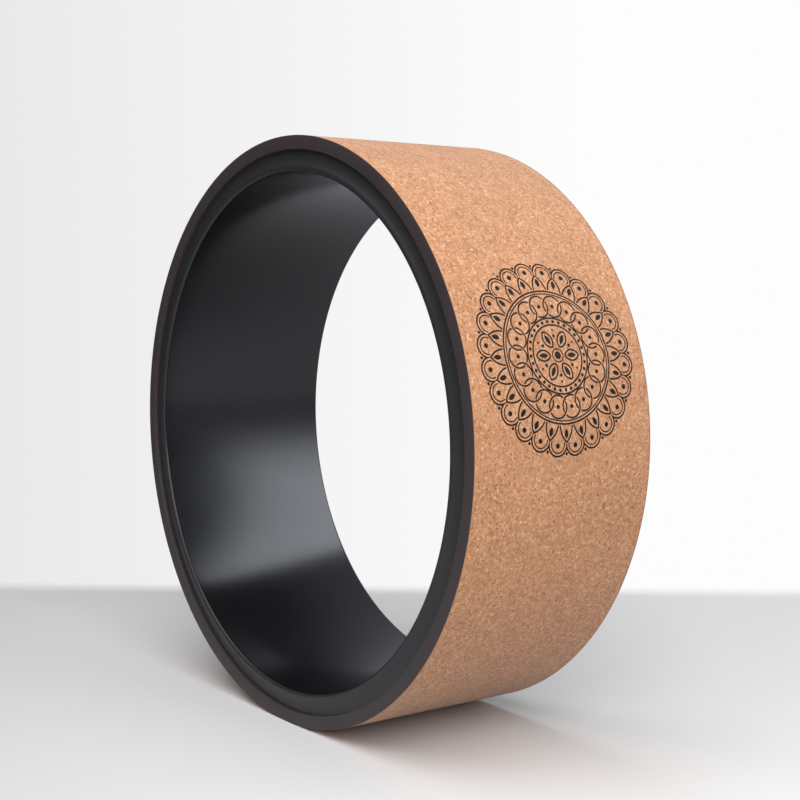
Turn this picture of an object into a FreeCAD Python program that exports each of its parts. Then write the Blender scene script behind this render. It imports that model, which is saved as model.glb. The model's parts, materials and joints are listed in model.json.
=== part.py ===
# Yoga wheel: a rigid core ring, a strip of cork-faced foam wrapped round it, and an edge band at each end.
# The ring's axis is Y, Z is up and the origin is the wheel's centre. Lengths are in millimetres.
import FreeCAD, Part
import os
import Sketcher

SIZES = {
    # Core: a cut length of thick-walled plastic pipe with turned ends.
    "core_outside_diameter": 315.0,
    "core_wall": 12.1,
    "bore_edge_round": 2.0,
    "lip_width": 3.6,
    # Glue film on the core, with the clearance on each side of it.
    "film_thickness": 0.2,
    "film_clearance": 0.1,
    # Wrapped strip: foam with a cork face, its ends butted with a hairline gap.
    "foam_thickness": 5.5,
    "cork_thickness": 1.6,
    "joint_gap": 0.3,
    # Widths along the axis.
    "wheel_width": 118.0,
    "band_thickness": 0.5,
    "core_setback": 2.0,
}

# Radii, each layer starting where the one below it ends.
CORE_OUTER = "sizes.core_outside_diameter / 2"
CORE_INNER = f"{CORE_OUTER} - sizes.core_wall"
LIP_CREST = f"{CORE_INNER} + sizes.lip_width"
FILM_INNER = f"{CORE_OUTER} + sizes.film_clearance"
FILM_OUTER = f"{FILM_INNER} + sizes.film_thickness"
FOAM_INNER = f"{FILM_OUTER} + sizes.film_clearance"
FOAM_OUTER = f"{FOAM_INNER} + sizes.foam_thickness"
TREAD = f"{FOAM_OUTER} + sizes.cork_thickness"

# Widths and places along the axis: the wrapped layers fill the space between the two edge bands.
BAND_WIDTH = "sizes.band_thickness"
LAYER_WIDTH = "sizes.wheel_width - 2 * sizes.band_thickness"
FILM_WIDTH = "sizes.wheel_width - 2 * sizes.core_setback"
FRONT_FACE = "-sizes.wheel_width / 2"
BACK_FACE = "sizes.wheel_width / 2"
LAYER_START = f"{FRONT_FACE} + sizes.band_thickness"
FILM_START = f"{FRONT_FACE} + sizes.core_setback"

# Where each section starts on its own axis.
START = "0"

# Turn of a wrapped strip, whose ends stop a gap short of meeting on the tread.
BUTTED = f"360 - sizes.joint_gap / ({TREAD}) * 180 / pi"

doc = FreeCAD.newDocument("yoga_wheel")
sheet = doc.addObject("Spreadsheet::Sheet", "sizes")
for row, (alias, value) in enumerate(SIZES.items(), start=1):
    sheet.set(f"A{row}", alias)
    sheet.set(f"B{row}", str(value))
    sheet.setAlias(f"B{row}", alias)
doc.recompute()


def number(expression):
    """The present value of a size written as an expression."""
    return float(sheet.evalExpression(expression))


def ring_section(body, corners):
    """Sketch a ring's section from its corners, each a radius along X and a place along the axis, which is Y here."""
    sketch = body.newObject("Sketcher::SketchObject", f"{body.Label}_section")
    plane = next(part for part in body.Origin.OriginFeatures if part.Role == "XY_Plane")
    sketch.AttachmentSupport = [(plane, "")]
    sketch.MapMode = "FlatFace"

    points = [FreeCAD.Vector(number(radius), number(place)) for radius, place in corners]
    for point, following in zip(points, points[1:] + points[:1]):
        sketch.addGeometry(Part.LineSegment(point, following))
    first, last = 1, 2
    origin, x_axis = (-1, 1), -1

    rule = Sketcher.Constraint
    for line in range(len(corners)):
        sketch.addConstraint(rule("Coincident", line, last, (line + 1) % len(corners), first))
    # Each radius and each place is given once, and the other corners that share it line up with the first one.
    for side, lined_up, distance in ((0, "Vertical", "DistanceX"), (1, "Horizontal", "DistanceY")):
        given = {}
        for line, corner in enumerate(corners):
            size = corner[side]
            if size in given:
                sketch.addConstraint(rule(lined_up, given[size], first, line, first))
                continue
            given[size] = line
            if size == START:
                sketch.addConstraint(rule("PointOnObject", line, first, x_axis))
                continue
            index = sketch.addConstraint(rule(distance, *origin, line, first, number(size)))
            name = f"{distance}_{len(given)}"
            sketch.renameConstraint(index, name)
            sketch.setExpression(f"Constraints.{name}", size)
    return sketch


def flat_ended(inner, outer, width):
    """The corners of a ring with flat ends."""
    return [(inner, START), (outer, START), (outer, width), (inner, width)]


def ring(label, corners, start, turn=None):
    """A body turned about Y from the given place on the axis: a closed ring, or with a turn given, a strip
    whose joint lies on the -X side."""
    body = doc.addObject("PartDesign::Body", label)
    body.Label = label
    section = ring_section(body, corners)
    revolution = body.newObject("PartDesign::Revolution", f"{label}_turned")
    revolution.Profile = section
    revolution.ReferenceAxis = (section, ["V_Axis"])
    revolution.Midplane = True
    if turn:
        revolution.setExpression("Angle", turn)
    body.setExpression("Placement.Base.y", start)
    doc.recompute()
    return body


def round_rims(body, size, radius):
    """Round every circular edge of the given radius on a body."""
    base = body.Tip
    tolerance = FreeCAD.Base.Precision.confusion()
    rims = [
        f"Edge{index}"
        for index, edge in enumerate(base.Shape.Edges, start=1)
        if isinstance(edge.Curve, Part.Circle) and abs(edge.Curve.Radius - number(radius)) < tolerance
    ]
    fillet = body.newObject("PartDesign::Fillet", f"{body.Label}_rims")
    fillet.Base = (base, rims)
    fillet.setExpression("Radius", size)
    doc.recompute()


# Core ring: a lip with rounded edges stands at the bore, and the turned ends fall away from it to the edge bands.
WIDTH = "sizes.wheel_width"
SETBACK = "sizes.core_setback"
FAR_SETBACK = "sizes.wheel_width - sizes.core_setback"
core = ring("core_ring", [
    (CORE_INNER, START), (LIP_CREST, START), (CORE_OUTER, SETBACK),
    (CORE_OUTER, FAR_SETBACK), (LIP_CREST, WIDTH), (CORE_INNER, WIDTH),
], FRONT_FACE)
round_rims(core, "sizes.bore_edge_round", CORE_INNER)

# Wrapped strip: a glue film holds the foam on the core, and the cork is laminated to the foam.
film = ring("bond_film", flat_ended(FILM_INNER, FILM_OUTER, FILM_WIDTH), FILM_START, BUTTED)
foam = ring("foam_layer", flat_ended(FOAM_INNER, FOAM_OUTER, LAYER_WIDTH), LAYER_START, BUTTED)
cork = ring("cork_cover", flat_ended(FOAM_OUTER, TREAD, LAYER_WIDTH), LAYER_START, BUTTED)

# Edge bands: thin flat rings that close the ends of the layers. The back one is the front one turned round.
front_band = ring("front_edge_band", flat_ended(CORE_OUTER, TREAD, BAND_WIDTH), FRONT_FACE)
back_band = ring("back_edge_band", flat_ended(CORE_OUTER, TREAD, BAND_WIDTH), BACK_FACE)
back_band.Placement.Rotation = FreeCAD.Rotation(FreeCAD.Vector(0, 0, 1), 180)

doc.recompute()

pieces = [core, film, foam, cork, front_band, back_band]
for item in doc.Objects:
    if "Invalid" in item.State or "Error" in item.State:
        raise RuntimeError(f"{item.Label} did not build")
for piece in pieces:
    if piece.Shape.isNull() or not piece.Shape.isValid():
        raise RuntimeError(f"{piece.Label} has no valid shape")

os.makedirs("parts", exist_ok=True)
for piece in pieces:
    piece.Shape.exportStep(f"parts/{piece.Label}.step")
    box = piece.Shape.optimalBoundingBox()
    print(f"{piece.Label}: {piece.Shape.Volume:.0f} mm3, {box.XLength:.1f} across, {box.YLength:.1f} wide")
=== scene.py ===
# Yoga wheel: a black plastic core ring, a strip of cork-faced foam wrapped round it, an edge band at each end
# and an ink print on the cork. The axis is Y, Z is up, the origin is the wheel's centre and lengths are in metres.
import json
import math

import bmesh
import bpy
from mathutils import Matrix, Vector, noise


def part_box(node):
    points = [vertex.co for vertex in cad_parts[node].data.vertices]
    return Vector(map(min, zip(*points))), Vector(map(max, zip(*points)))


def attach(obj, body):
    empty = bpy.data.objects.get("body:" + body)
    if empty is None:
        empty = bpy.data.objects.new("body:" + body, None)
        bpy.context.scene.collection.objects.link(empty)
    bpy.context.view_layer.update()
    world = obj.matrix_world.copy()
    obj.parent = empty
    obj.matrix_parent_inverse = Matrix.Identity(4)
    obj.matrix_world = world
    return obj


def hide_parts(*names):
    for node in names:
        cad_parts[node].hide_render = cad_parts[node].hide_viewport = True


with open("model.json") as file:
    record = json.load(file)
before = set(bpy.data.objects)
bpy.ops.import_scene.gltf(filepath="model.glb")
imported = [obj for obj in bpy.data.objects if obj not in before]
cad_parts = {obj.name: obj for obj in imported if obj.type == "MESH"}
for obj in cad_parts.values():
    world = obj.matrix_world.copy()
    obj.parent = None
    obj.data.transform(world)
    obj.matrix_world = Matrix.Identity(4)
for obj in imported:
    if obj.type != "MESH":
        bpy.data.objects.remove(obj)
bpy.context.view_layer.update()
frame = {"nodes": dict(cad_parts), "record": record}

# Core ring: a cut length of thick-walled black polyethylene pipe. The bore keeps the smooth skin of the extruder,
# and the two ends are turned on a lathe: a lip rounded over for the hands stands at the bore, and from its crest the
# end falls away to the edge band.
MM = 0.001
core_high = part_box("core_ring")[1]
core_outer, lip_end = core_high.z, core_high.y
core_inner = frame["record"]["mounts"][0]["dims"]["r_mm"] * MM
core_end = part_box("bond_film")[1].y
lip_width = 3.0 * MM
lip_crest = core_inner + lip_width
cove_foot_width = 5.1 * MM
cove_foot = core_outer - cove_foot_width
bore_edge_round = 2.0 * MM
lip_crest_round = 0.9 * MM
cove_round = 3.4 * MM
RING_STEPS = 768


def section_face(bm, *corners):
    """One flat face from its corners: X is the radius and Y runs along the wheel's axis."""
    return bm.faces.new([bm.verts.new((*corner, 0)) for corner in corners])


def round_corner(bm, radius, place, size, segments):
    """Round the section's corner nearest to a radius and a place along the axis."""
    corner = min(bm.verts, key=lambda v: (v.co - Vector((radius, place, 0))).length)
    bmesh.ops.bevel(bm, geom=[corner], offset=size, offset_type="OFFSET", segments=segments,
                    profile=0.5, affect="VERTICES", material=-1)


def turn_closed(bm):
    """Turn the section's outline once round the wheel's axis."""
    bmesh.ops.delete(bm, geom=bm.faces[:], context="FACES_ONLY")
    bmesh.ops.spin(bm, geom=bm.verts[:] + bm.edges[:], cent=(0, 0, 0), axis=(0, 1, 0),
                   angle=2 * math.pi, steps=RING_STEPS, use_merge=True)
    bmesh.ops.remove_doubles(bm, verts=bm.verts[:], dist=0.001 * MM)
    bmesh.ops.recalc_face_normals(bm, faces=bm.faces[:])


def finish_piece(name, bm, material, nodes=(), crease=35):
    """Make the mesh a smooth-shaded piece that rides on the wheel and stands for the given CAD nodes."""
    mesh = bpy.data.meshes.new(name)
    bm.to_mesh(mesh)
    bm.free()
    mesh.shade_smooth()
    mesh.set_sharp_from_angle(angle=math.radians(crease))
    mesh.materials.append(material)
    piece = bpy.data.objects.new(name, mesh)
    bpy.context.scene.collection.objects.link(piece)
    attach(piece, "root")
    if nodes:
        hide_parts(*nodes)
    return piece


def linear(code):
    """An sRGB hex colour as a linear RGBA value."""
    parts = [int(code[i:i + 2], 16) / 255 for i in (1, 3, 5)]
    return [p / 12.92 if p <= 0.04045 else ((p + 0.055) / 1.055) ** 2.4 for p in parts] + [1.0]


def start_material(name):
    """A new material and its Principled shader."""
    material = bpy.data.materials.new(name)
    material.use_nodes = True
    return material.node_tree, material.node_tree.nodes["Principled BSDF"], material


def add(tree, kind, options=None, inputs=None):
    """Add a shader node with its options, and fill its inputs from values or from other nodes' outputs."""
    node = tree.nodes.new(kind)
    for key, value in (options or {}).items():
        setattr(node, key, value)
    for key, value in (inputs or {}).items():
        if isinstance(value, bpy.types.NodeSocket):
            tree.links.new(value, node.inputs[key])
        else:
            node.inputs[key].default_value = value
    return node


def from_axis(tree, place):
    """The distance of a place from the wheel's axis."""
    axes = add(tree, "ShaderNodeSeparateXYZ", inputs={0: place})
    flat = add(tree, "ShaderNodeCombineXYZ", inputs={"X": axes.outputs["X"], "Y": axes.outputs["Z"]}).outputs[0]
    return add(tree, "ShaderNodeVectorMath", {"operation": "LENGTH"}, {0: flat}).outputs["Value"]


# Black polyethylene: the extruded bore is glossy enough to mirror the floor softly, with faint die lines along the
# axis, and the turned ends are duller, with fine rings from the lathe tool.
tree, shader, black_polyethylene = start_material("black_polyethylene")
place = add(tree, "ShaderNodeTexCoord").outputs["Object"]
radius = from_axis(tree, place)
on_end = add(tree, "ShaderNodeMapRange", {"interpolation_type": "SMOOTHSTEP"}, {
    "Value": radius, "From Min": core_inner, "From Max": core_inner + 0.6 * MM}).outputs[0]

# Die lines about 3 mm apart and 100 mm or more long; lathe rings 0.5 mm apart.
drawn_out = add(tree, "ShaderNodeMapping", inputs={"Vector": place, "Scale": (1, 0.03, 1)}).outputs[0]
die_lines = add(tree, "ShaderNodeTexNoise", inputs={
    "Vector": drawn_out, "Scale": 1 / (3 * MM), "Detail": 3.0, "Roughness": 0.55}).outputs[0]
ring_place = add(tree, "ShaderNodeCombineXYZ", inputs={"X": radius}).outputs[0]
lathe_rings = add(tree, "ShaderNodeTexNoise", inputs={
    "Vector": ring_place, "Scale": 1 / (0.5 * MM), "Detail": 2.0}).outputs[0]
marks = add(tree, "ShaderNodeMix", inputs={0: on_end, 2: die_lines, 3: lathe_rings}).outputs[0]
relief = add(tree, "ShaderNodeMix", inputs={0: on_end, 2: 0.002, 3: 0.12}).outputs[0]
bump = add(tree, "ShaderNodeBump", inputs={"Strength": relief, "Distance": 0.05 * MM, "Height": marks}).outputs[0]

# Handling leaves slightly duller clouds some 40 mm across.
clouds = add(tree, "ShaderNodeTexNoise", inputs={
    "Vector": place, "Scale": 1 / (40 * MM), "Detail": 4.0, "Roughness": 0.6}).outputs[0]
bore_gloss = add(tree, "ShaderNodeMapRange", inputs={
    "Value": clouds, "From Min": 0.3, "From Max": 0.7, "To Min": 0.17, "To Max": 0.21}).outputs[0]
end_gloss = add(tree, "ShaderNodeMapRange", inputs={
    "Value": clouds, "From Min": 0.3, "From Max": 0.7, "To Min": 0.42, "To Max": 0.5}).outputs[0]
gloss = add(tree, "ShaderNodeMix", inputs={0: on_end, 2: bore_gloss, 3: end_gloss}).outputs[0]
bore_tone = add(tree, "ShaderNodeMix", {"data_type": "RGBA"}, {
    0: clouds, 6: linear("#0F0F11"), 7: linear("#131315")}).outputs[2]
end_tone = add(tree, "ShaderNodeMix", {"data_type": "RGBA"}, {
    0: clouds, 6: linear("#272728"), 7: linear("#2B2B2C")}).outputs[2]
tone = add(tree, "ShaderNodeMix", {"data_type": "RGBA"}, {0: on_end, 6: bore_tone, 7: end_tone}).outputs[2]
tree.links.new(tone, shader.inputs["Base Color"])
tree.links.new(gloss, shader.inputs["Roughness"])
tree.links.new(bump, shader.inputs["Normal"])
shader.inputs["IOR"].default_value = 1.5
shader.inputs["Specular IOR Level"].default_value = 0.42
shader.inputs["Specular Tint"].default_value = (0.93, 0.92, 1.0, 1.0)

bm = bmesh.new()
section_face(bm, (core_inner, -lip_end), (lip_crest, -lip_end), (cove_foot, -core_end), (core_outer, -core_end),
             (core_outer, core_end), (cove_foot, core_end), (lip_crest, lip_end), (core_inner, lip_end))
for side in (-1, 1):
    round_corner(bm, core_inner, side * lip_end, bore_edge_round, segments=10)
    round_corner(bm, lip_crest, side * lip_end, lip_crest_round, segments=6)
    round_corner(bm, cove_foot, side * core_end, cove_round, segments=8)
turn_closed(bm)
finish_piece("core_ring_turned", bm, black_polyethylene, ["core_ring"])

# Glue film: cured contact adhesive, brushed on the core to hold the foam. It is shut in between the core and the
# foam, and keeps its CAD shape.

# Contact adhesive: amber and slightly glossy, streaked by the brush.
tree, shader, contact_adhesive = start_material("contact_adhesive")
place = add(tree, "ShaderNodeTexCoord").outputs["Object"]
brushed_on = add(tree, "ShaderNodeTexNoise", inputs={"Vector": place, "Scale": 1 / (6 * MM), "Detail": 3.0}).outputs[0]
tone = add(tree, "ShaderNodeMix", {"data_type": "RGBA"}, {
    0: brushed_on, 6: linear("#A98546"), 7: linear("#C9A766")}).outputs[2]
tree.links.new(tone, shader.inputs["Base Color"])
shader.inputs["Roughness"].default_value = 0.35
film_mesh = frame["nodes"]["bond_film"].data
film_mesh.materials.clear()
film_mesh.materials.append(contact_adhesive)

# Foam layer: a strip of dense closed-cell foam, wrapped once round the glued core with its ends butted on the
# -X side. It fills the space between the film and the cork, so only its form is modelled.
film_clearance = 0.1 * MM
foam_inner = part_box("bond_film")[1].z + film_clearance
foam_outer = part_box("foam_layer")[1].z
foam_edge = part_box("foam_layer")[1].y
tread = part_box("cork_cover")[1].z
joint_gap = 0.3 * MM
STRIP_STEPS = 512


def turn_strip(bm):
    """Turn the section almost once round the axis, so that the strip's ends meet on the -X side."""
    open_angle = joint_gap / tread
    start = Matrix.Rotation(math.pi + open_angle / 2, 4, "Y")
    bmesh.ops.transform(bm, matrix=start, verts=bm.verts[:])
    bmesh.ops.spin(bm, geom=bm.verts[:] + bm.edges[:] + bm.faces[:], cent=(0, 0, 0), axis=(0, 1, 0),
                   angle=2 * math.pi - open_angle, steps=STRIP_STEPS)
    bmesh.ops.recalc_face_normals(bm, faces=bm.faces[:])


# Closed-cell foam: dark grey and dull, with a fine sponge of cells under 1 mm where it is cut.
tree, shader, closed_cell_foam = start_material("closed_cell_foam")
place = add(tree, "ShaderNodeTexCoord").outputs["Object"]
cells = add(tree, "ShaderNodeTexVoronoi", inputs={"Vector": place, "Scale": 1 / (0.8 * MM)})
tone = add(tree, "ShaderNodeMix", {"data_type": "RGBA"}, {
    0: cells.outputs["Distance"], 6: linear("#2A292B"), 7: linear("#39383A")}).outputs[2]
bump = add(tree, "ShaderNodeBump", inputs={
    "Strength": 0.5, "Distance": 0.2 * MM, "Height": cells.outputs["Distance"]}).outputs[0]
tree.links.new(tone, shader.inputs["Base Color"])
tree.links.new(bump, shader.inputs["Normal"])
shader.inputs["Roughness"].default_value = 0.85

bm = bmesh.new()
section_face(bm, (foam_inner, -foam_edge), (foam_outer, -foam_edge), (foam_outer, foam_edge), (foam_inner, foam_edge))
turn_strip(bm)
foam_strip = finish_piece("foam_layer_strip", bm, closed_cell_foam, ["foam_layer"])

# Cork cover: a thin sheet of fine agglomerated cork, laminated to the foam, wrapped once round the core and cut
# flush at the bands. Its ends meet in a butt joint on the -X side.
cork_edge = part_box("cork_cover")[1].y
cut_edge_round = 0.25 * MM
sheet_dip = 0.06 * MM
dip_spacing = 18 * MM
CORK_ROWS = 56

# Agglomerated cork: pressed granules of light, tan and brown bark, 1 to 2 mm across, with dark binder between them,
# a few dark and pale flecks, and shallow pits. It is dull all over.
tree, shader, agglomerated_cork = start_material("agglomerated_cork")
place = add(tree, "ShaderNodeTexCoord").outputs["Object"]
ragged = add(tree, "ShaderNodeTexNoise", inputs={
    "Vector": place, "Scale": 1 / (1.0 * MM), "Detail": 2.0}).outputs["Color"]
ragged = add(tree, "ShaderNodeVectorMath", {"operation": "SUBTRACT"}, {0: ragged, 1: (0.5, 0.5, 0.5)}).outputs[0]
ragged = add(tree, "ShaderNodeVectorMath", {"operation": "SCALE"}, {0: ragged, "Scale": 0.9 * MM}).outputs[0]
granule_place = add(tree, "ShaderNodeVectorMath", {"operation": "ADD"}, {0: place, 1: ragged}).outputs[0]
granules = add(tree, "ShaderNodeTexVoronoi", inputs={"Vector": granule_place, "Scale": 1 / (1.2 * MM)})
binder = add(tree, "ShaderNodeTexVoronoi", {"feature": "DISTANCE_TO_EDGE"}, {
    "Vector": granule_place, "Scale": 1 / (1.2 * MM)}).outputs["Distance"]
shades = add(tree, "ShaderNodeSeparateColor", inputs={0: granules.outputs["Color"]})

granule_tone = add(tree, "ShaderNodeValToRGB", inputs={0: shades.outputs[0]})
stops = granule_tone.color_ramp.elements
for element, (at, code) in zip((stops[0], stops[1]), ((0.0, "#AC7149"), (1.0, "#E4B289"))):
    element.position, element.color = at, linear(code)
for at, code in ((0.12, "#C0865C"), (0.5, "#D09569"), (0.85, "#DAA278")):
    stops.new(at).color = linear(code)
tone = granule_tone.outputs[0]

# Binder lines, then slow changes of tone across the sheet, then flecks.
line = add(tree, "ShaderNodeMapRange", {"interpolation_type": "SMOOTHSTEP"}, {
    "Value": binder, "From Min": 0.0, "From Max": 0.14, "To Min": 0.45, "To Max": 0.0}).outputs[0]
tone = add(tree, "ShaderNodeMix", {"data_type": "RGBA"}, {0: line, 6: tone, 7: linear("#8F5D39")}).outputs[2]
slow = add(tree, "ShaderNodeTexNoise", inputs={
    "Vector": place, "Scale": 1 / (25 * MM), "Detail": 4.0, "Roughness": 0.65}).outputs[0]
slow = add(tree, "ShaderNodeMapRange", inputs={
    "Value": slow, "From Min": 0.3, "From Max": 0.7, "To Min": 0.93, "To Max": 1.07}).outputs[0]
tone = add(tree, "ShaderNodeMix", {"data_type": "RGBA", "blend_type": "MULTIPLY"}, {
    0: 1.0, 6: tone, 7: slow}).outputs[2]
fleck_height = None
for seed, code, share, spacing in ((0.0, "#7E5236", 0.86, 2.6), (7.0, "#EFCDAB", 0.86, 2.3)):
    shifted = add(tree, "ShaderNodeVectorMath", {"operation": "ADD"}, {
        0: granule_place, 1: (seed, seed, seed)}).outputs[0]
    flecks = add(tree, "ShaderNodeTexVoronoi", inputs={"Vector": shifted, "Scale": 1 / (spacing * MM)})
    pick = add(tree, "ShaderNodeSeparateColor", inputs={0: flecks.outputs["Color"]}).outputs[1]
    pick = add(tree, "ShaderNodeMath", {"operation": "GREATER_THAN"}, {0: pick, 1: share}).outputs[0]
    near = add(tree, "ShaderNodeMapRange", {"interpolation_type": "SMOOTHSTEP"}, {
        "Value": flecks.outputs["Distance"], "From Min": 0.16, "From Max": 0.3,
        "To Min": 0.8, "To Max": 0.0}).outputs[0]
    spot = add(tree, "ShaderNodeMath", {"operation": "MULTIPLY"}, {0: pick, 1: near}).outputs[0]
    tone = add(tree, "ShaderNodeMix", {"data_type": "RGBA"}, {0: spot, 6: tone, 7: linear(code)}).outputs[2]
    fleck_height = fleck_height or spot

# Relief: granules stand at slightly different heights, binder and dark flecks lie lower.
level = add(tree, "ShaderNodeMath", {"operation": "MULTIPLY_ADD"}, {0: line, 1: -1.0, 2: shades.outputs[1]}).outputs[0]
level = add(tree, "ShaderNodeMath", {"operation": "SUBTRACT"}, {0: level, 1: fleck_height}).outputs[0]
bump = add(tree, "ShaderNodeBump", inputs={"Strength": 0.6, "Distance": 0.12 * MM, "Height": level}).outputs[0]
gloss = add(tree, "ShaderNodeMapRange", inputs={
    "Value": shades.outputs[2], "To Min": 0.72, "To Max": 0.92}).outputs[0]
tree.links.new(tone, shader.inputs["Base Color"])
tree.links.new(gloss, shader.inputs["Roughness"])
tree.links.new(bump, shader.inputs["Normal"])
shader.inputs["IOR"].default_value = 1.4
shader.inputs["Sheen Weight"].default_value = 0.25
shader.inputs["Sheen Roughness"].default_value = 0.5

bm = bmesh.new()
section_face(bm, (foam_outer, -cork_edge), (tread, -cork_edge), (tread, cork_edge), (foam_outer, cork_edge))
for end in (-cork_edge, cork_edge):
    round_corner(bm, tread, end, cut_edge_round, segments=3)
across = [e for e in bm.edges if e.calc_length() > cork_edge and e.verts[0].co.x > foam_outer + 0.1 * MM]
bmesh.ops.subdivide_edges(bm, edges=across, cuts=CORK_ROWS - 1)
turn_strip(bm)
# A wrapped sheet is never quite true: it dips a little between the places where the glue holds it best.
for v in bm.verts:
    outward = Vector((v.co.x, 0, v.co.z))
    if outward.length > tread - cut_edge_round:
        dip = sheet_dip * abs(noise.noise(v.co / dip_spacing))
        v.co -= outward.normalized() * dip
finish_piece("cork_cover_strip", bm, agglomerated_cork, ["cork_cover"])

# Print: a compass-drawn rosette in black ink, screen-printed on the cork sheet before it is wrapped. Its motifs stand
# in rings of 6, 18, 24 and 30 round a centre, and the flat drawing is bent round the tread on the +X side.
ink_bed = tread - 0.1 * MM
ink_top = tread + 0.02 * MM
print_rise = math.radians(17)
bold, fine = 0.9 * MM, 0.65 * MM
drawing = bmesh.new()


def pen_arc(bm, centre, radius, width, start, sweep, steps):
    """One pen stroke along an arc: an edge as long as the pen is wide, spun about the arc's centre."""
    middle = Vector((*centre, 0))
    way = Vector((math.cos(start), math.sin(start), 0))
    tips = [bm.verts.new(middle + way * (radius + side * width / 2)) for side in (-1, 1)]
    bmesh.ops.spin(bm, geom=tips + [bm.edges.new(tips)], cent=middle, axis=(0, 0, 1), angle=sweep, steps=steps,
                   use_merge=math.isclose(sweep, 2 * math.pi))


def trim(bm, keep):
    """Cut away what lies behind a line through the centre, seen along the direction to keep."""
    bmesh.ops.bisect_plane(bm, geom=bm.verts[:] + bm.edges[:] + bm.faces[:], dist=0.0001 * MM,
                           plane_co=(0, 0, 0), plane_no=keep, clear_inner=True)


def mirror_half(bm):
    """Trim a motif's upper half at the X axis and join it to its mirror image."""
    trim(bm, (0, 1, 0))
    bmesh.ops.mirror(bm, geom=bm.verts[:] + bm.edges[:] + bm.faces[:], merge_dist=0.001 * MM, axis="Y")
    return bm


def circle_line(radius, width):
    """A full circle about the centre."""
    bm = bmesh.new()
    pen_arc(bm, (0, 0), radius, width, 0, 2 * math.pi, steps=120)
    return bm


def dot(radius, away):
    """A filled dot at a distance from the centre."""
    bm = bmesh.new()
    bmesh.ops.create_circle(bm, cap_ends=True, segments=20, radius=radius, matrix=Matrix.Translation((away, 0, 0)))
    return bm


def leaf(inner, outer, half_width, width):
    """A leaf between two points, of two arcs. A stroke as wide as half the leaf fills it."""
    bm = bmesh.new()
    reach = (outer - inner) / 2
    radius = (reach ** 2 + half_width ** 2) / (2 * half_width)
    turn = math.asin(reach / radius)
    pen_arc(bm, (inner + reach, half_width - radius), radius - width / 2, width,
            math.pi / 2 - turn, 2 * turn, steps=16)
    return mirror_half(bm)


def arch(inner, outer, half_width, width):
    """A pointed arch that stands on a circle about the centre."""
    bm = bmesh.new()
    rise = outer - inner
    behind = (rise ** 2 - half_width ** 2) / (2 * half_width)
    tip = math.atan2(behind, rise)
    pen_arc(bm, (inner, -behind), half_width + behind - width / 2, width, tip, math.pi / 2 - tip, steps=12)
    return mirror_half(bm)


def scallop(away, radius, width, half_sector):
    """A bow that ends where it meets the next one, at the edge of its sector."""
    bm = bmesh.new()
    pen_arc(bm, (away, 0), radius, width, 0, 0.6 * math.pi, steps=16)
    trim(bm, (math.sin(half_sector), -math.cos(half_sector), 0))
    return mirror_half(bm)


def chain_link(away, radius, width, count):
    """One circle of a woven chain, broken where it passes under its two neighbours."""
    bm = bmesh.new()
    half_step = math.pi / count
    next_one = math.pi / 2 + half_step
    crossing = math.acos(away * math.sin(half_step) / radius)
    gap = 1.1 * width / radius
    under_last, under_next = crossing - next_one, crossing + next_one
    pen_arc(bm, (away, 0), radius, width, under_last + gap, under_next - under_last - 2 * gap, steps=22)
    pen_arc(bm, (away, 0), radius, width, under_next + gap, 2 * math.pi + under_last - under_next - 2 * gap,
            steps=18)
    return bm


def ring_of(count, motif, turned=0.0):
    """Copy a motif from the X axis evenly round the centre and add the ring to the drawing."""
    step = 2 * math.pi / count
    bmesh.ops.rotate(motif, cent=(0, 0, 0), matrix=Matrix.Rotation(turned * step, 3, "Z"), verts=motif.verts[:])
    if count > 1:
        bmesh.ops.spin(motif, geom=motif.verts[:] + motif.edges[:] + motif.faces[:], cent=(0, 0, 0), axis=(0, 0, 1),
                       angle=step * (count - 1), steps=count - 1, use_duplicate=True)
    copied = bpy.data.meshes.new("motif")
    motif.to_mesh(copied)
    motif.free()
    drawing.from_mesh(copied)
    bpy.data.meshes.remove(copied)


# Eye and six leaves.
ring_of(1, dot(2.0 * MM, 0))
ring_of(1, circle_line(3.4 * MM, fine))
ring_of(6, leaf(4.3 * MM, 14.4 * MM, 3.2 * MM, bold))
ring_of(6, leaf(6.4 * MM, 12.2 * MM, 1.2 * MM, 1.25 * MM))
ring_of(6, dot(0.9 * MM, 10.0 * MM), 0.5)
ring_of(6, dot(0.65 * MM, 13.2 * MM), 0.5)
# Beads between two circles.
ring_of(1, circle_line(15.8 * MM, bold))
ring_of(30, dot(0.9 * MM, 17.6 * MM))
ring_of(1, circle_line(19.4 * MM, bold))
# Woven chain.
ring_of(18, chain_link(26.0 * MM, 5.7 * MM, bold, 18))
ring_of(18, dot(1.1 * MM, 26.0 * MM))
ring_of(1, circle_line(32.7 * MM, fine))
ring_of(1, circle_line(34.2 * MM, bold))
# Arcade of pointed arches, and bows between their tips.
ring_of(24, arch(34.9 * MM, 43.8 * MM, 4.4 * MM, bold))
ring_of(24, leaf(36.6 * MM, 41.4 * MM, 1.25 * MM, 1.3 * MM))
ring_of(24, scallop(44.4 * MM, 6.0 * MM, bold, math.pi / 24), 0.5)
ring_of(24, scallop(44.4 * MM, 4.3 * MM, fine, math.pi / 24), 0.5)
ring_of(24, dot(1.3 * MM, 45.2 * MM), 0.5)
ring_of(24, dot(0.8 * MM, 49.0 * MM))

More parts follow.
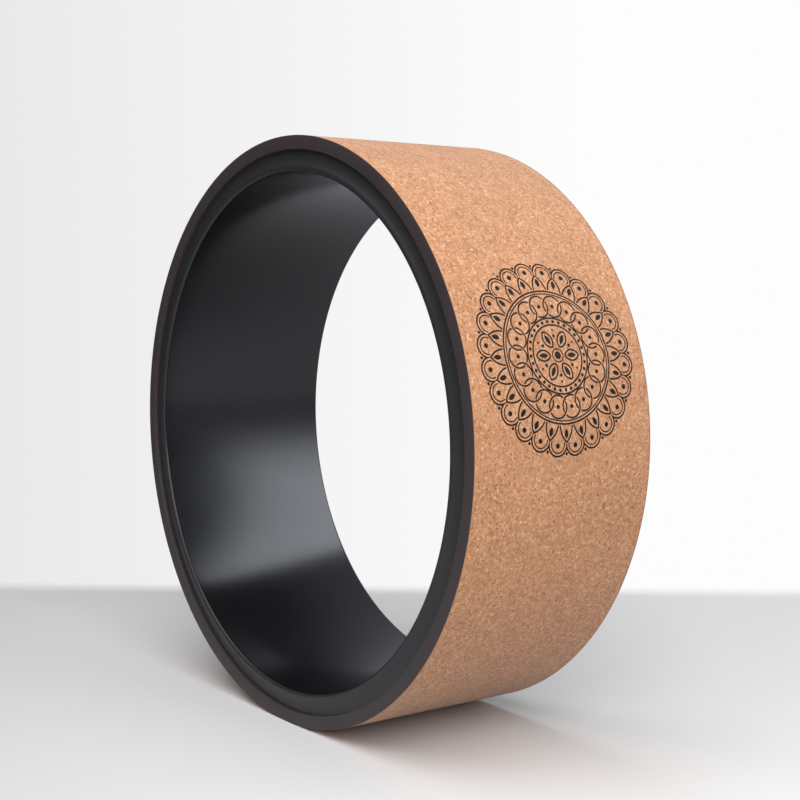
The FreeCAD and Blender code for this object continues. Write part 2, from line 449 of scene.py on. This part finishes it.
# Screen ink: a thin dull black film that the cork's grain shows through a little, where pits took no ink.
tree, shader, screen_ink = start_material("screen_ink")
place = add(tree, "ShaderNodeTexCoord").outputs["Object"]
pits = add(tree, "ShaderNodeTexNoise", inputs={
    "Vector": place, "Scale": 1 / (1.2 * MM), "Detail": 3.0, "Roughness": 0.6}).outputs[0]
missed = add(tree, "ShaderNodeMapRange", {"interpolation_type": "SMOOTHSTEP"}, {
    "Value": pits, "From Min": 0.6, "From Max": 0.78, "To Min": 0.0, "To Max": 0.7}).outputs[0]
tone = add(tree, "ShaderNodeMix", {"data_type": "RGBA"}, {
    0: missed, 6: linear("#130E0D"), 7: linear("#53392A")}).outputs[2]
gloss = add(tree, "ShaderNodeMapRange", inputs={"Value": missed, "To Min": 0.6, "To Max": 0.85}).outputs[0]
tree.links.new(tone, shader.inputs["Base Color"])
tree.links.new(gloss, shader.inputs["Roughness"])
shader.inputs["IOR"].default_value = 1.45
shader.inputs["Specular IOR Level"].default_value = 0.15

for v in drawing.verts:
    rise = print_rise + v.co.y / tread
    v.co = (ink_bed * math.cos(rise), v.co.x, ink_bed * math.sin(rise))
raised = bmesh.ops.extrude_face_region(drawing, geom=drawing.faces[:], use_keep_orig=True)["geom"]
bmesh.ops.scale(drawing, vec=(ink_top / ink_bed, 1, ink_top / ink_bed),
                verts=[item for item in raised if isinstance(item, bmesh.types.BMVert)])
bmesh.ops.recalc_face_normals(drawing, faces=drawing.faces[:])
finish_piece("cork_print_rosette", drawing, screen_ink)

# Edge bands: one thin ring of dull thermoplastic elastomer at each end, glued over the cut ends of the foam and cork.
# A narrow leg on each band closes the step down to the core's turned end.
band_inner = core_outer
band_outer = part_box("front_edge_band")[1].z
leg = foam_inner - core_outer
band_corner_round = 0.2 * MM
edge_highlight_width = 0.1 * MM

# Thermoplastic elastomer: brown-black and dull, with a fine moulded grain, and a thin pale line painted on its outer
# edge as a highlight.
tree, shader, elastomer = start_material("thermoplastic_elastomer")
place = add(tree, "ShaderNodeTexCoord").outputs["Object"]
grain = add(tree, "ShaderNodeTexNoise", inputs={
    "Vector": place, "Scale": 1 / (0.6 * MM), "Detail": 3.0, "Roughness": 0.6}).outputs[0]
clouds = add(tree, "ShaderNodeTexNoise", inputs={
    "Vector": place, "Scale": 1 / (30 * MM), "Detail": 4.0, "Roughness": 0.6}).outputs[0]
tone = add(tree, "ShaderNodeMix", {"data_type": "RGBA"}, {
    0: clouds, 6: linear("#383033"), 7: linear("#3E3639")}).outputs[2]
gloss = add(tree, "ShaderNodeMapRange", inputs={
    "Value": clouds, "From Min": 0.3, "From Max": 0.7, "To Min": 0.5, "To Max": 0.62}).outputs[0]
bump = add(tree, "ShaderNodeBump", inputs={"Strength": 0.25, "Distance": 0.06 * MM, "Height": grain}).outputs[0]
# The bands are sanded flush with the cork. A thin cork-coloured line is painted on their outer edge as a highlight
# where they meet the cork.
radius = from_axis(tree, place)
painted_edge_highlight = add(tree, "ShaderNodeMapRange", {"interpolation_type": "SMOOTHSTEP"}, {
    "Value": radius, "From Min": band_outer - edge_highlight_width, "From Max": band_outer, "To Max": 0.85}).outputs[0]
tone = add(tree, "ShaderNodeMix", {"data_type": "RGBA"}, {0: painted_edge_highlight, 6: tone, 7: linear("#C08A62")}).outputs[2]
tree.links.new(tone, shader.inputs["Base Color"])
tree.links.new(gloss, shader.inputs["Roughness"])
tree.links.new(bump, shader.inputs["Normal"])
shader.inputs["IOR"].default_value = 1.48

for node_name in ("front_edge_band", "back_edge_band"):
    face, seat = sorted((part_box(node_name)[0].y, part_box(node_name)[1].y), key=abs, reverse=True)
    bm = bmesh.new()
    leg_end = math.copysign(core_end, face)
    section_face(bm, (band_inner, face), (band_outer, face), (band_outer, seat), (band_inner + leg, seat),
                 (band_inner + leg, leg_end), (band_inner, leg_end))
    for edge_radius in (band_inner, band_outer):
        round_corner(bm, edge_radius, face, band_corner_round, segments=4)
    turn_closed(bm)
    finish_piece(node_name + "_ring", bm, elastomer, [node_name])

# Floor: a plain pale studio floor of painted board, square to the camera but for a slight turn. It takes the wheel's
# shadow and shows in the glossy bore.
camera_turn = math.radians(54.22)
floor_turn = camera_turn - math.radians(2.3)
floor_width, floor_depth = 4.0, 2.36
floor_back = 0.36
back_fade = 0.05
bm = bmesh.new()
bmesh.ops.create_grid(bm, x_segments=1, y_segments=1, size=1.0)
bmesh.ops.scale(bm, vec=(floor_width / 2, floor_depth / 2, 1), verts=bm.verts[:])
bmesh.ops.translate(bm, vec=(0, floor_back - floor_depth / 2, -tread), verts=bm.verts[:])
bmesh.ops.rotate(bm, cent=(0, 0, 0), matrix=Matrix.Rotation(floor_turn, 3, "Z"), verts=bm.verts[:])
floor_mesh = bpy.data.meshes.new("studio_floor")
bm.to_mesh(floor_mesh)
bm.free()

# Painted board: matt and even, with a slow unevenness some 250 mm across. Painted shade makes it a little greyer to
# the left.
tree, shader, painted_board = start_material("painted_board")
place = add(tree, "ShaderNodeTexCoord").outputs["Object"]
rightwards = Vector((math.cos(camera_turn), math.sin(camera_turn), 0))
backwards = Vector((-math.sin(floor_turn), math.cos(floor_turn), 0))
along = add(tree, "ShaderNodeVectorMath", {"operation": "DOT_PRODUCT"}, {0: place, 1: rightwards}).outputs["Value"]
uneven = add(tree, "ShaderNodeTexNoise", inputs={"Vector": place, "Scale": 1 / (250 * MM), "Detail": 3.0}).outputs[0]
along = add(tree, "ShaderNodeMath", {"operation": "MULTIPLY_ADD"}, {0: uneven, 1: 0.05, 2: along}).outputs[0]
# Painted shade: the floor's tone darkens towards the left.
side = add(tree, "ShaderNodeMapRange", inputs={"Value": along, "From Min": -0.25, "From Max": 0.25}).outputs[0]
tone = add(tree, "ShaderNodeMix", {"data_type": "RGBA"}, {
    0: side, 6: linear("#D8D8D9"), 7: linear("#F2F2F3")}).outputs[2]
# It throws less light back at the wheel's underside than it shows the camera.
path = add(tree, "ShaderNodeLightPath")
tone = add(tree, "ShaderNodeMix", {"data_type": "RGBA"}, {
    0: path.outputs["Is Diffuse Ray"], 6: tone, 7: linear("#B2B2B4")}).outputs[2]
tree.links.new(tone, shader.inputs["Base Color"])
shader.inputs["Roughness"].default_value = 0.7
# The floor melts into the wall at its back edge, and about a metre off on the other sides.
away = add(tree, "ShaderNodeVectorMath", {"operation": "DOT_PRODUCT"}, {0: place, 1: backwards}).outputs["Value"]
gone = add(tree, "ShaderNodeMapRange", {"interpolation_type": "SMOOTHSTEP"}, {
    "Value": away, "From Min": floor_back - back_fade, "From Max": floor_back}).outputs[0]
distance = add(tree, "ShaderNodeVectorMath", {"operation": "LENGTH"}, {0: place}).outputs["Value"]
far_off = add(tree, "ShaderNodeMapRange", {"interpolation_type": "SMOOTHSTEP"}, {
    "Value": distance, "From Min": 0.7, "From Max": 1.4}).outputs[0]
gone = add(tree, "ShaderNodeMath", {"operation": "MAXIMUM"}, {0: gone, 1: far_off}).outputs[0]
clear = add(tree, "ShaderNodeBsdfTransparent").outputs[0]
surface = add(tree, "ShaderNodeMixShader", inputs={0: gone, 1: shader.outputs[0], 2: clear}).outputs[0]
tree.links.new(surface, tree.nodes["Material Output"].inputs["Surface"])
floor_mesh.materials.append(painted_board)
floor = bpy.data.objects.new("studio_floor", floor_mesh)
bpy.context.scene.collection.objects.link(floor)

# Studio light: a large softbox overhead and slightly in front, a weaker one at the right for the tread, and one that
# only shows in the glossy bore. The surround gives a little light from all sides.
world = bpy.data.worlds.new("studio")
world.use_nodes = True
bpy.context.scene.world = world
tree = world.node_tree
surround = tree.nodes["Background"]
ray = add(tree, "ShaderNodeTexCoord").outputs["Generated"]
path = add(tree, "ShaderNodeLightPath")

# The white wall behind the wheel has painted shade that makes it a little greyer to the left. Glossy surfaces see it
# slightly violet and brightest straight behind, and the rest of the studio, on the camera's side, is dim.
ray_side = add(tree, "ShaderNodeVectorMath", {"operation": "DOT_PRODUCT"}, {0: ray, 1: rightwards}).outputs["Value"]
# Painted shade: the wall seen by the camera is dimmer towards the left.
wall = add(tree, "ShaderNodeMapRange", inputs={
    "Value": ray_side, "From Min": -0.26, "From Max": 0.14, "To Min": 0.81, "To Max": 0.98}).outputs[0]
ray_axes = add(tree, "ShaderNodeSeparateXYZ", inputs={0: ray}).outputs
straight_behind = add(tree, "ShaderNodeMapRange", {"interpolation_type": "SMOOTHSTEP"}, {
    "Value": ray_axes["Y"], "From Min": 0.51, "From Max": 0.62, "To Min": 0.05, "To Max": 0.7}).outputs[0]
level_with_floor = add(tree, "ShaderNodeMapRange", {"interpolation_type": "SMOOTHSTEP"}, {
    "Value": ray_axes["Z"], "From Min": 0.0, "From Max": 0.15, "To Min": 0.7, "To Max": 0.0}).outputs[0]
behind = add(tree, "ShaderNodeMapRange", inputs={"Value": ray_axes["Y"], "From Min": 0.1, "From Max": 0.5}).outputs[0]
far_floor = add(tree, "ShaderNodeMath", {"operation": "MULTIPLY"}, {0: level_with_floor, 1: behind}).outputs[0]
in_gloss = add(tree, "ShaderNodeMath", {"operation": "MAXIMUM"}, {0: straight_behind, 1: far_floor}).outputs[0]
mirrored = add(tree, "ShaderNodeMath", {"operation": "MAXIMUM"}, {
    0: path.outputs["Is Glossy Ray"], 1: path.outputs["Is Transmission Ray"]}).outputs[0]
strength = add(tree, "ShaderNodeMix", inputs={0: mirrored, 2: 0.06, 3: in_gloss}).outputs[0]
strength = add(tree, "ShaderNodeMix", inputs={
    0: path.outputs["Is Camera Ray"], 2: strength, 3: wall}).outputs[0]
tree.links.new(strength, surround.inputs["Strength"])
tint = add(tree, "ShaderNodeMix", {"data_type": "RGBA"}, {
    0: mirrored, 6: linear("#FFFFFF"), 7: linear("#F1F0FC")}).outputs[2]
tree.links.new(tint, surround.inputs["Color"])

for name, place, facing, size, power in (
    ("overhead_softbox", (0.1, -0.6, 1.9), (0.1, -0.6, 1.9), (2.8, 2.8), 48.0),
    ("tread_softbox", (1.05, -0.5, 0.58), (1.05, -0.5, 0.58), (0.9, 0.9), 12.5),
    ("bore_softbox", (0.740, 0.771, 0.709), (0.569, 0.592, 0.571), (1.2, 1.9), 39.0),
):
    lamp = bpy.data.lights.new(name, "AREA")
    lamp.shape, lamp.energy = "RECTANGLE", power
    lamp.size, lamp.size_y = size
    light = bpy.data.objects.new(name, lamp)
    light.location = place
    light.rotation_euler = (-Vector(facing)).to_track_quat("-Z", "Y").to_euler()
    bpy.context.scene.collection.objects.link(light)

# The bore's softbox only shows in reflections. It is slightly blue, narrows towards its top and fades out at its lower
# end and on the camera's side.
light.visible_diffuse = False
lamp.color = (0.94, 1.0, 1.0)
lamp.use_nodes = True
tree = lamp.node_tree
on_lamp = add(tree, "ShaderNodeNewGeometry").outputs["Parametric"]
across, height, _ = add(tree, "ShaderNodeSeparateXYZ", inputs={0: on_lamp}).outputs
from_left = add(tree, "ShaderNodeMath", {"operation": "MULTIPLY_ADD"}, {0: height, 1: -0.71, 2: across}).outputs[0]
from_right = add(tree, "ShaderNodeMath", {"operation": "MULTIPLY_ADD"}, {0: height, 1: 0.68, 2: across}).outputs[0]
glow = None
for value, dark, lit in ((height, 0.0, 0.4), (from_left, -0.05, 0.12), (from_right, 1.35, 1.28)):
    part = add(tree, "ShaderNodeMapRange", {"interpolation_type": "SMOOTHSTEP"}, {
        "Value": value, "From Min": dark, "From Max": lit}).outputs[0]
    glow = add(tree, "ShaderNodeMath", {"operation": "MULTIPLY"}, {0: glow, 1: part}).outputs[0] if glow else part
tree.links.new(glow, tree.nodes["Emission"].inputs["Strength"])

# Camera: at the photograph's viewing angle, a little above the wheel's centre and aimed at it. The picture is shifted
# to the photograph's framing.
camera_height = math.radians(5.31)
camera_distance = 0.8415
lens = bpy.data.cameras.new("camera")
lens.sensor_width, lens.lens = 36.0, 64.755
lens.shift_x, lens.shift_y = 0.0366, 0.0358
camera = bpy.data.objects.new("camera", lens)
towards = Vector((math.sin(camera_turn) * math.cos(camera_height), -math.cos(camera_turn) * math.cos(camera_height),
                  math.sin(camera_height)))
camera.location = towards * camera_distance
camera.rotation_euler = (-towards).to_track_quat("-Z", "Y").to_euler()
bpy.context.scene.collection.objects.link(camera)
bpy.context.scene.camera = camera
bpy.context.scene.view_settings.view_transform = "Standard"
